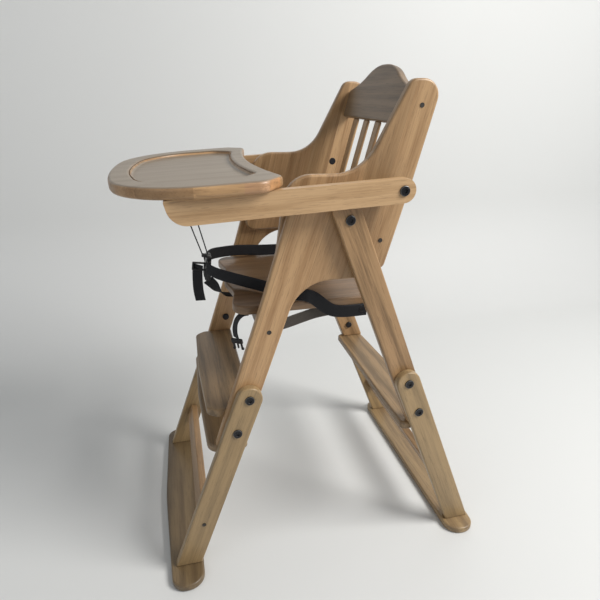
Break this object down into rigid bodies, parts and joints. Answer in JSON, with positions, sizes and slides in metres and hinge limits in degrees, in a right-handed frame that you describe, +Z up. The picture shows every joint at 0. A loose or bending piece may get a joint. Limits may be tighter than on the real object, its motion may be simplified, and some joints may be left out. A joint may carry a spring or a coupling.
{
  "type": "baby high chair",
  "caption": "Folding wooden high chair with slatted back, seat with safety harness, swing-over tray, footrest and a low-chair upper section bolted to longer legs.",
  "frame": {"origin": "on the floor, under the middle of the chair's overall length and width", "axes": "+Z up, the front of the chair faces -Y, +X is the sitter's left"},
  "size_m": [0.538, 0.721, 0.9804],
  "materials": {
    "wood_light": "satin lacquer",
    "wood_mid": "satin lacquer",
    "wood_dark": "satin lacquer",
    "wood_tray": "satin lacquer",
    "black_bolt": "satin black",
    "steel": "plain",
    "nylon": "matt",
    "black_plastic": "matt",
    "webbing": "woven",
    "grey_webbing": "woven"
  },
  "bodies": {
    "front_frame": {"side_panel_left": "wood_light", "side_panel_right": "wood_light", "front_panel_left": "wood_light", "front_panel_right": "wood_light", "front_lower_leg_left": "wood_mid", "front_lower_leg_right": "wood_mid", "front_foot_board": "wood_mid", "front_stretcher": "wood_mid", "front_low_board": "wood_dark", "footrest_board": "wood_dark", "seat_front_rail": "wood_mid", "headrest_board": "wood_tray", "back_slats": "wood_light", "back_lower_rail": "wood_mid", "frame_screws": "steel", "front_leg_bolts": "black_bolt", "leg_pivot_bolts": "black_bolt", "pivot_washers": "nylon", "tray_pivot_bolts": "black_bolt", "tray_spacers": "black_plastic", "crotch_strap": "webbing", "buckle": "black_plastic", "strap_tail": "webbing", "clip_strap": "webbing", "clip": "black_plastic"},
    "rear_frame": {"rear_upper_leg_left": "wood_mid", "rear_upper_leg_right": "wood_mid", "rear_lower_leg_left": "wood_mid", "rear_lower_leg_right": "wood_mid", "rear_foot_board": "wood_mid", "rear_stretcher": "wood_mid", "rear_low_board": "wood_dark", "rear_leg_bolts": "black_bolt", "seat_rod": "steel"},
    "seat": {"seat_board": "wood_dark", "seat_pivot_blocks": "wood_mid", "waist_strap_left": "webbing", "waist_strap_right": "webbing", "strap_anchors": "steel", "stay_straps": "grey_webbing"},
    "tray": {"tray_board": "wood_tray", "tray_arm_left": "wood_light", "tray_arm_right": "wood_light", "tray_rest_blocks": "wood_mid", "tray_cords": "webbing"}
  },
  "joints": [
    {"name": "rear_fold", "type": "hinge", "parent": "front_frame", "child": "rear_frame", "pos_m": [0, 0.04416, 0.727], "axis": [1, 0, 0], "range_deg": [-36, 0]},
    {"name": "seat_flip", "type": "hinge", "parent": "rear_frame", "child": "seat", "pos_m": [0, 0.11816, 0.5335], "axis": [1, 0, 0], "range_deg": [-70, 0], "deforming": ["stay_straps", "waist_strap_left", "waist_strap_right"]},
    {"name": "tray_swing", "type": "hinge", "parent": "front_frame", "child": "tray", "pos_m": [0, 0.13116, 0.7764], "axis": [1, 0, 0], "range_deg": [-240, 0]}
  ],
  "couplings": [
    {"joint": "seat_flip", "follows": "rear_fold", "ratio": 1.9}
  ]
}
